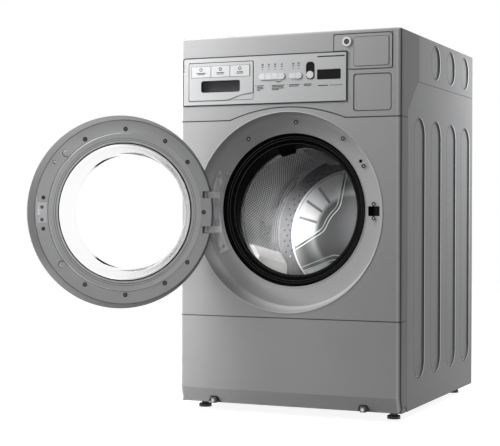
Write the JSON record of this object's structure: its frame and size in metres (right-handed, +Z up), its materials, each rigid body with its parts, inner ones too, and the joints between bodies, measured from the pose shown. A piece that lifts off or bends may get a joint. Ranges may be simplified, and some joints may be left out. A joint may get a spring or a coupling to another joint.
{
  "type": "front-loading washing machine",
  "caption": "Free-standing commercial front-loading washing machine with a round glass door standing open, a tilted drum behind a rubber gasket, a detergent drawer and a control panel",
  "frame": {"origin": "on the floor, under the middle of the casing", "axes": "+Z up, -Y out of the door side, +X to the right of a person facing the door; the door is hinged on the -X side and drawn open"},
  "size_m": [0.97, 1.2113, 1.099],
  "materials": {
    "silver_paint": "silver-grey powder coat",
    "side_paint": "dark grey powder coat",
    "insert_silver": "silver moulded plastic",
    "door_grey": "grey moulded plastic",
    "black_plastic": "black gloss plastic",
    "dark_plastic": "dark grey plastic",
    "white_plastic": "white plastic",
    "gasket_rubber": "black moulded rubber",
    "stainless": "bright stainless steel",
    "chrome_steel": "chrome-plated steel",
    "zinc_steel": "galvanised steel",
    "clear_glass": "clear glass",
    "tub_plastic": "light grey filled plastic",
    "cast_alloy": "cast aluminium alloy",
    "cast_weight": "cast iron",
    "belt_rubber": "ribbed belt rubber",
    "motor_steel": "dark painted steel"
  },
  "bodies": {
    "casing": {"base_frame": "zinc_steel", "side_panel_left": "side_paint", "side_panel_right": "side_paint", "top_cover": "silver_paint", "rear_panel": "zinc_steel", "service_cover": "zinc_steel", "casing_screws": "zinc_steel", "fascia": "silver_paint", "front_panel": "silver_paint", "kick_panel": "silver_paint", "control_insert": "insert_silver", "display_lens": "black_plastic", "dispenser_housing": "white_plastic", "blank_cover": "silver_paint", "door_lock": "black_plastic", "door_gasket": "gasket_rubber", "tub_front": "tub_plastic", "tub_rear": "tub_plastic", "drum_bearings": "chrome_steel", "drive_motor": "motor_steel", "counterweight": "cast_weight", "suspension_springs": "zinc_steel", "dampers": "zinc_steel", "drain_pump": "dark_plastic", "inlet_valve": "white_plastic", "power_inlet": "dark_plastic", "hinge_bracket": "chrome_steel", "drive_belt": "belt_rubber"},
    "drum": {"drum_shell": "stainless", "drum_front_ring": "stainless", "drum_back": "stainless", "drum_lifters": "stainless", "drum_spider": "cast_alloy", "drum_pulley": "cast_alloy"},
    "motor_rotor": {"motor_rotor": "zinc_steel"},
    "door": {"door_inner_frame": "door_grey", "door_outer_frame": "silver_paint", "door_glass": "clear_glass", "door_seal": "gasket_rubber", "door_screws": "zinc_steel", "door_strike": "zinc_steel", "door_bumpers": "gasket_rubber", "hinge_pins": "chrome_steel"},
    "drawer": {"drawer_front": "insert_silver", "drawer_labels": "white_plastic", "drawer_tray": "white_plastic"},
    "access": {"access_panel": "silver_paint", "lock_barrel": "chrome_steel"},
    "key_lock": {"lock_plug": "chrome_steel"},
    "cycle_button_1": {"cycle_button_1": "dark_plastic"},
    "cycle_button_2": {"cycle_button_2": "dark_plastic"},
    "cycle_button_3": {"cycle_button_3": "dark_plastic"},
    "cycle_button_4": {"cycle_button_4": "dark_plastic"},
    "option_button_1": {"option_button_1": "dark_plastic"},
    "option_button_2": {"option_button_2": "dark_plastic"},
    "start_button": {"start_button": "insert_silver"},
    "levelling_foot_1": {"levelling_foot_1": "zinc_steel"},
    "levelling_foot_2": {"levelling_foot_2": "zinc_steel"},
    "levelling_foot_3": {"levelling_foot_3": "zinc_steel"},
    "levelling_foot_4": {"levelling_foot_4": "zinc_steel"}
  },
  "joints": [
    {"name": "door_hinge", "type": "hinge", "parent": "casing", "child": "door", "pos_m": [-0.2555, -0.396, 0.585], "axis": [0, 0, 1], "range_deg": [0, 134.7]},
    {"name": "drum_spin", "type": "hinge", "parent": "casing", "child": "drum", "pos_m": [0, 0.20513, 0.51541], "axis": [0, 0.9903, -0.1392], "continuous": true},
    {"name": "motor_spin", "type": "hinge", "parent": "casing", "child": "motor_rotor", "pos_m": [0.19, 0.21821, 0.1773], "axis": [0, 0.9903, -0.1392], "continuous": true},
    {"name": "drawer_slide", "type": "slide", "parent": "casing", "child": "drawer", "axis": [0, -1, 0], "range_m": [0, 0.2]},
    {"name": "access_hinge", "type": "hinge", "parent": "casing", "child": "access", "pos_m": [0.314, -0.3885, 1.037], "axis": [0, 0, 1], "range_deg": [0, 100]},
    {"name": "key_turn", "type": "hinge", "parent": "access", "child": "key_lock", "pos_m": [0.1833, -0.39, 1.066], "axis": [0, -1, 0], "range_deg": [0, 90]},
    {"name": "cycle_button_1_press", "type": "slide", "parent": "casing", "child": "cycle_button_1", "axis": [0, 1, 0], "range_m": [0, 0.0015], "stiffness_N_per_m": 900, "springref_m": -0.001},
    {"name": "cycle_button_2_press", "type": "slide", "parent": "casing", "child": "cycle_button_2", "axis": [0, 1, 0], "range_m": [0, 0.0015], "stiffness_N_per_m": 900, "springref_m": -0.001},
    {"name": "cycle_button_3_press", "type": "slide", "parent": "casing", "child": "cycle_button_3", "axis": [0, 1, 0], "range_m": [0, 0.0015], "stiffness_N_per_m": 900, "springref_m": -0.001},
    {"name": "cycle_button_4_press", "type": "slide", "parent": "casing", "child": "cycle_button_4", "axis": [0, 1, 0], "range_m": [0, 0.0015], "stiffness_N_per_m": 900, "springref_m": -0.001},
    {"name": "option_button_1_press", "type": "slide", "parent": "casing", "child": "option_button_1", "axis": [0, 1, 0], "range_m": [0, 0.0015], "stiffness_N_per_m": 900, "springref_m": -0.001},
    {"name": "option_button_2_press", "type": "slide", "parent": "casing", "child": "option_button_2", "axis": [0, 1, 0], "range_m": [0, 0.0015], "stiffness_N_per_m": 900, "springref_m": -0.001},
    {"name": "start_button_press", "type": "slide", "parent": "casing", "child": "start_button", "axis": [0, 1, 0], "range_m": [0, 0.0015], "stiffness_N_per_m": 900, "springref_m": -0.001},
    {"name": "levelling_foot_1_level", "type": "slide", "parent": "casing", "child": "levelling_foot_1", "axis": [0, 0, 1], "range_m": [-0.02, 0]},
    {"name": "levelling_foot_2_level", "type": "slide", "parent": "casing", "child": "levelling_foot_2", "axis": [0, 0, 1], "range_m": [-0.02, 0]},
    {"name": "levelling_foot_3_level", "type": "slide", "parent": "casing", "child": "levelling_foot_3", "axis": [0, 0, 1], "range_m": [-0.02, 0]},
    {"name": "levelling_foot_4_level", "type": "slide", "parent": "casing", "child": "levelling_foot_4", "axis": [0, 0, 1], "range_m": [-0.02, 0]}
  ],
  "couplings": [
    {"joint": "motor_spin", "follows": "drum_spin", "ratio": 10}
  ]
}
